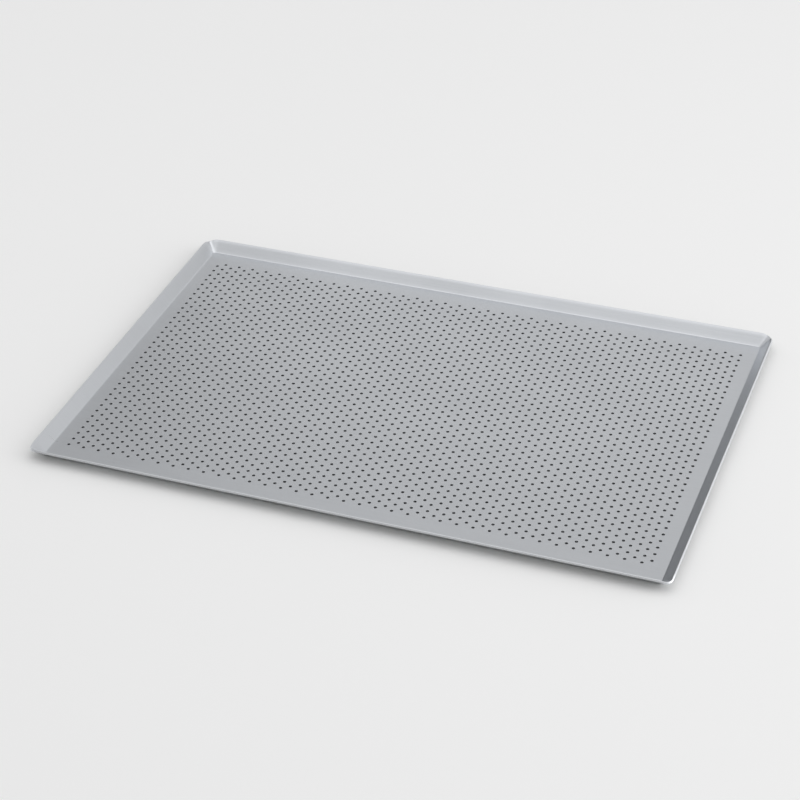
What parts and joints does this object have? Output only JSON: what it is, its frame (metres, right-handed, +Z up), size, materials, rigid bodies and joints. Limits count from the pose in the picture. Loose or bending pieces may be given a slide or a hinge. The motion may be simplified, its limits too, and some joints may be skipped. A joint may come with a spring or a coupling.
{
  "type": "perforated baking tray",
  "caption": "Flat perforated aluminium baking tray with a low outward-sloping rim on all four sides and pressed corners.",
  "frame": {"origin": "centre of the tray's flat underside, in the plane that it rests on", "axes": "+X along the 600 mm length, +Y along the 400 mm width, +Z up, through the open side of the tray"},
  "size_m": [0.6, 0.4, 0.012],
  "materials": {
    "tray_sheet": "satin rolled aluminium, mill finish, cut edges bare"
  },
  "bodies": {
    "root": {"floor_left": "tray_sheet", "floor_right": "tray_sheet", "front_rim": "tray_sheet", "back_rim": "tray_sheet", "left_rim": "tray_sheet", "right_rim": "tray_sheet", "front_left_corner": "tray_sheet", "front_right_corner": "tray_sheet", "back_left_corner": "tray_sheet", "back_right_corner": "tray_sheet"}
  },
  "joints": []
}
